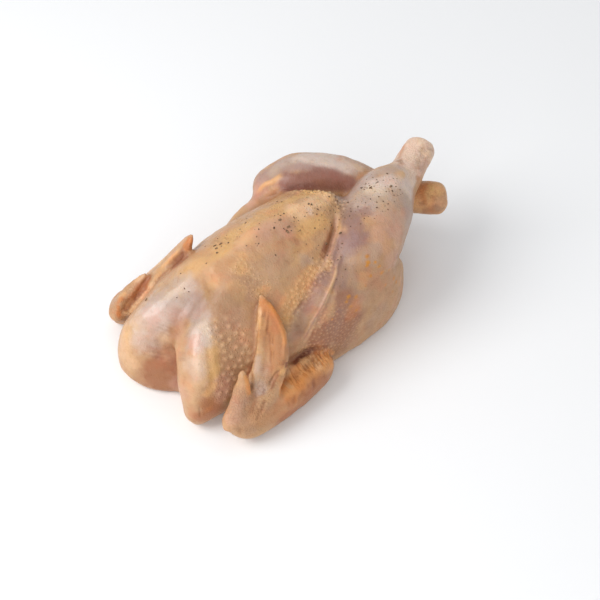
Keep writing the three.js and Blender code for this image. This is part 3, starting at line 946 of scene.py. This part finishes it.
def addNode(tree, kind, values=(), **settings):
    made = tree.nodes.new("ShaderNode" + kind)
    for name, value in settings.items():
        setattr(made, name, value)
    for name, value in dict(values).items():
        if isinstance(value, bpy.types.NodeSocket):
            tree.links.new(value, made.inputs[name])
        else:
            made.inputs[name].default_value = value
    return made


# The first colour, multiplied by the second as far as factor goes.
def shaded(tree, factor, first, second):
    values = {0: factor, 6: first, 7: second}
    return addNode(tree, "Mix", values, data_type="RGBA", blend_type="MULTIPLY").outputs[2]


def combined(tree, operation, first, second):
    return addNode(tree, "Math", {0: first, 1: second}, operation=operation).outputs[0]


def ranged(tree, value, low, high, start=0.0, end=1.0):
    values = {"Value": value, "From Min": low, "From Max": high, "To Min": start, "To Max": end}
    return addNode(tree, "MapRange", values, interpolation_type="SMOOTHSTEP").outputs[0]


finish = {
    "redder": (1.05, 0.90, 0.88, 1),
    "yellower": (1.03, 1.01, 0.87, 1),
    "darker": (0.86, 0.79, 0.74, 1),
    "pore": (1.12, 1.10, 1.0, 1),
    # painted shade in the streaks across the forearms, and in the furrows of the net of wrinkles
    "streak": (0.80, 0.65, 0.50, 1),
    "furrow": (0.82, 0.72, 0.64, 1),
    "broad": (60, 4, 0.6),  # scale, detail and roughness of the noises
    "middle": (210, 5, 0.65),
    "fine": (900, 3, 0.6),
    "redWhere": (0.5, 0.72),  # between which noise values a blotch comes in
    "yellowWhere": (0.5, 0.3),
    "darkWhere": (0.5, 0.75, 0, 0.8),  # the last two are its least and greatest strength
    "poreScale": 520,
    "poreSpread": 0.9,
    "poreWhere": (0.45, 0.1),
    "poreColour": (0.18, 0.8),  # away from the follicles and among them
    "poreHeight": (0.35, 1.1),
    "streakScale": 430,
    "streakStretch": (0.22, 1, 0.22),
    "streakBend": 0.6,
    "streakWhere": (0.5, 0.62),
    "streakDepth": 1.2,
    "netScale": 430,
    "netWarp": (160, 0.006),  # scale and share of the noise that bends the net
    "netWhere": (0.14, 0.0),
    "netShow": (0.04, 0.5),  # on smooth skin and on wrinkled skin
    "netDepth": 1.5,
    "middleHeight": 1.4,
    "fineHeight": (0.5, 1.3),  # on dry skin and on wet skin
    "bumpStrength": 0.5,
    "bumpDistance": 0.0006,
    "glossWhere": (0.3, 0.7),
    "roughness": (0.34, 0.5),
    "specular": 0.32,
    "subsurface": 0.12,
    "subsurfaceRadius": (1, 0.4, 0.25),
    "subsurfaceScale": 0.003,
    "coat": (0.07, 0.65),  # on dry skin and on wet skin
    "coatRoughness": 0.2,
}


def skinMaterial():
    material = bpy.data.materials.new("skin")
    material.use_nodes = True
    tree = material.node_tree
    shader = tree.nodes["Principled BSDF"]
    place = addNode(tree, "TexCoord").outputs["Object"]

    def kept(name, output="Fac"):
        return addNode(tree, "Attribute", attribute_name=name).outputs[output]

    def cloud(scale, detail, rough):
        values = {"Vector": place, "Scale": scale, "Detail": detail, "Roughness": rough}
        return addNode(tree, "TexNoise", values).outputs[0]

    tint = kept("tint", "Color")
    bumps = kept("bumps")
    streaks = kept("streaks")
    wrinkles = kept("wrinkles")
    sheen = kept("sheen")
    broad = cloud(*finish["broad"])
    middle = cloud(*finish["middle"])
    fine = cloud(*finish["fine"])
    # blotches, redder here and yellower there, then the fine net of the skin
    colour = shaded(tree, ranged(tree, broad, *finish["redWhere"]), tint, finish["redder"])
    colour = shaded(tree, ranged(tree, broad, *finish["yellowWhere"]), colour, finish["yellower"])
    colour = shaded(tree, ranged(tree, middle, *finish["darkWhere"]), colour, finish["darker"])
    # pores: small pale mounds, larger where the follicles are
    values = {"Vector": place, "Scale": finish["poreScale"], "Randomness": finish["poreSpread"]}
    cells = addNode(tree, "TexVoronoi", values).outputs["Distance"]
    mound = ranged(tree, cells, *finish["poreWhere"])
    poreShow = combined(tree, "MULTIPLY", mound, ranged(tree, bumps, 0, 1, *finish["poreColour"]))
    colour = shaded(tree, poreShow, colour, finish["pore"])
    # short streaks across the forearms, darkened as painted shade in these creases and sunk by the bump
    values = {"Vector": place, "Scale": finish["streakStretch"]}
    along = addNode(tree, "Mapping", values).outputs[0]
    values = {"Vector": along, "Scale": finish["streakScale"], "Detail": 2, "Roughness": 0.5}
    values["Distortion"] = finish["streakBend"]
    lines = addNode(tree, "TexNoise", values).outputs[0]
    crease = combined(tree, "MULTIPLY", ranged(tree, lines, *finish["streakWhere"]), streaks)
    colour = shaded(tree, crease, colour, finish["streak"])
    # the net of fine wrinkles, its furrows darkened as painted shade and sunk by the bump
    warpScale, warpShare = finish["netWarp"]
    values = {"Vector": place, "Scale": warpScale, "Detail": 3}
    warp = addNode(tree, "TexNoise", values).outputs["Color"]
    values = {0: warpShare, 4: place, 5: warp}
    warped = addNode(tree, "Mix", values, data_type="VECTOR").outputs[1]
    values = {"Vector": warped, "Scale": finish["netScale"]}
    net = addNode(tree, "TexVoronoi", values, feature="DISTANCE_TO_EDGE").outputs["Distance"]
    netShow = ranged(tree, wrinkles, 0, 1, *finish["netShow"])
    furrow = combined(tree, "MULTIPLY", ranged(tree, net, *finish["netWhere"]), netShow)
    colour = shaded(tree, furrow, colour, finish["furrow"])
    tree.links.new(colour, shader.inputs["Base Color"])
    # the relief of all these
    height = combined(tree, "MULTIPLY", mound, ranged(tree, bumps, 0, 1, *finish["poreHeight"]))
    fineHeight = ranged(tree, sheen, 0, 1, *finish["fineHeight"])
    for operation, part, much in (
        ("ADD", middle, finish["middleHeight"]),
        ("ADD", fine, fineHeight),
        ("SUBTRACT", crease, finish["streakDepth"]),
        ("SUBTRACT", furrow, finish["netDepth"]),
    ):
        height = combined(tree, operation, height, combined(tree, "MULTIPLY", part, much))
    values = {"Height": height, "Strength": finish["bumpStrength"], "Distance": finish["bumpDistance"]}
    tree.links.new(addNode(tree, "Bump", values).outputs[0], shader.inputs["Normal"])
    gloss = ranged(tree, middle, *finish["glossWhere"], *finish["roughness"])
    tree.links.new(gloss, shader.inputs["Roughness"])
    shader.inputs["Specular IOR Level"].default_value = finish["specular"]
    shader.inputs["Subsurface Weight"].default_value = finish["subsurface"]
    shader.inputs["Subsurface Radius"].default_value = finish["subsurfaceRadius"]
    shader.inputs["Subsurface Scale"].default_value = finish["subsurfaceScale"]
    tree.links.new(ranged(tree, sheen, 0, 1, *finish["coat"]), shader.inputs["Coat Weight"])
    shader.inputs["Coat Roughness"].default_value = finish["coatRoughness"]
    return material


piece.data.materials.clear()
piece.data.materials.append(skinMaterial())
for polygon in piece.data.polygons:
    polygon.use_smooth = True

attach(piece, "root")
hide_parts("chicken")
print("skin is on")

pepper = {
    "patches": [  # line, radius, how many
        ([(-16, -45, 93), (-12, -21, 98), (-6, 9, 99), (2, 25, 97)], 20, 66),
        ([(4, -1, 99), (10, 21, 95)], 14, 26),
        ([(14, 66, 98), (24, 66, 96), (26, 48, 95)], 14, 60),
        ([(42, 19, 84), (46, 5, 78)], 12, 12),
        ([(18, 11, 90), (28, -5, 84)], 10, 8),
        ([(-22, -85, 76), (-12, -63, 88)], 14, 6),
    ],
    "placed": [  # mark and size of the large ones
        ((278, 220), 1.0), ((273, 228), 1.0), ((288, 226), 1.1), ((287, 227), 0.8), ((287, 231), 1.2),
        ((256, 237), 0.6), ((276, 254), 0.6), ((244, 221), 0.6), ((309, 204), 0.9), ((311, 204), 0.8),
        ((317, 209), 0.8), ((306, 213), 0.5), ((331, 197), 0.9), ((328, 197), 0.8), ((312, 192), 0.7),
        ((326, 243), 1.0), ((340, 233), 1.0), ((348, 203), 0.9), ((350, 211), 0.6), ((350, 225), 0.6),
        ((360, 224), 0.6), ((342, 243), 0.6), ((376, 206), 0.6), ((370, 187), 1.0), ((361, 187), 0.7),
        ((390, 186), 1.1), ((395, 186), 0.6), ((392, 190), 0.7), ((387, 173), 0.6), ((377, 181), 0.8),
        ((378, 196), 0.6), ((293, 216), 0.6), ((279, 216), 0.5), ((214, 244), 1.0), ((216, 247), 1.2),
        ((220, 243), 1.0), ((228, 241), 0.8), ((216, 252), 0.9), ((206, 263), 0.7), ((145, 299), 1.0),
    ],
    "seed": 23,
    "gap": 1.6,
    "size": (0.25, 0.6),
    "turn": 6.3,
    "length": (0.8, 1.6),  # as shares of the size
    "width": (0.6, 1),
    "flatness": 0.5,
    "lift": 0.1,
    "unevenness": 0.18,
    "colours": [(0.10, 0.055, 0.03, 1), (0.28, 0.16, 0.08, 1)],
    "colourScale": 600,
    "colourWhere": (0.4, 0.65),
    "bumpStrength": 0.6,
    "bumpDistance": 0.0004,
    "roughness": 0.8,
}


# The vertex of the skin under each fleck, and the fleck's size.
def pepperSpots(draw):
    spots = [(clay.nearest(placeOf(mark)), size) for mark, size in pepper["placed"]]
    for line, radius, count in pepper["patches"]:
        weight = patchWeight(clay, line, radius)
        taken = spaced(clay, weight ** 2, pepper["gap"], draw)[:count]
        spots += [(index, draw.uniform(*pepper["size"])) for index in taken]
    return spots


# A grain lying flat on the skin.
def addGrain(bm, index, size, draw):
    out = Vector(clay.out[index])
    turn = out.to_track_quat("Z", "Y").to_matrix().to_4x4()
    turn = turn @ Matrix.Rotation(draw.uniform(0, pepper["turn"]), 4, "Z")
    shape = [draw.uniform(*pepper["length"]), draw.uniform(*pepper["width"]), pepper["flatness"]]
    shape = Matrix.Diagonal((*(size * part for part in shape), 1))
    place = Matrix.Translation(Vector(clay.at[index]) + pepper["lift"] * out)
    matrix = Matrix.Scale(1 / perMetre, 4) @ place @ turn @ shape
    grain = bmesh.ops.create_icosphere(bm, subdivisions=1, radius=1, matrix=matrix)
    rough = pepper["unevenness"]
    for vertex in grain["verts"]:
        vertex.co += Vector([draw.uniform(-rough, rough) * size / perMetre for axis in range(3)])


def pepperMaterial():
    material = bpy.data.materials.new("groundPepper")
    material.use_nodes = True
    tree = material.node_tree
    shader = tree.nodes["Principled BSDF"]
    place = addNode(tree, "TexCoord").outputs["Object"]
    values = {"Vector": place, "Scale": pepper["colourScale"], "Detail": 2}
    spread = addNode(tree, "TexNoise", values).outputs[0]
    dark, light = pepper["colours"]
    values = {0: ranged(tree, spread, *pepper["colourWhere"]), 6: dark, 7: light}
    colour = addNode(tree, "Mix", values, data_type="RGBA").outputs[2]
    tree.links.new(colour, shader.inputs["Base Color"])
    values = {"Height": spread, "Strength": pepper["bumpStrength"], "Distance": pepper["bumpDistance"]}
    tree.links.new(addNode(tree, "Bump", values).outputs[0], shader.inputs["Normal"])
    shader.inputs["Roughness"].default_value = pepper["roughness"]
    return material


def makePepper():
    draw = random.Random(pepper["seed"])
    bm = bmesh.new()
    for index, size in pepperSpots(draw):
        addGrain(bm, index, size, draw)
    mesh = bpy.data.meshes.new("pepper")
    bm.to_mesh(mesh)
    bm.free()
    mesh.materials.append(pepperMaterial())
    flecks = bpy.data.objects.new("pepper", mesh)
    bpy.context.scene.collection.objects.link(flecks)
    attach(flecks, "root")


makePepper()
print("pepper is on")
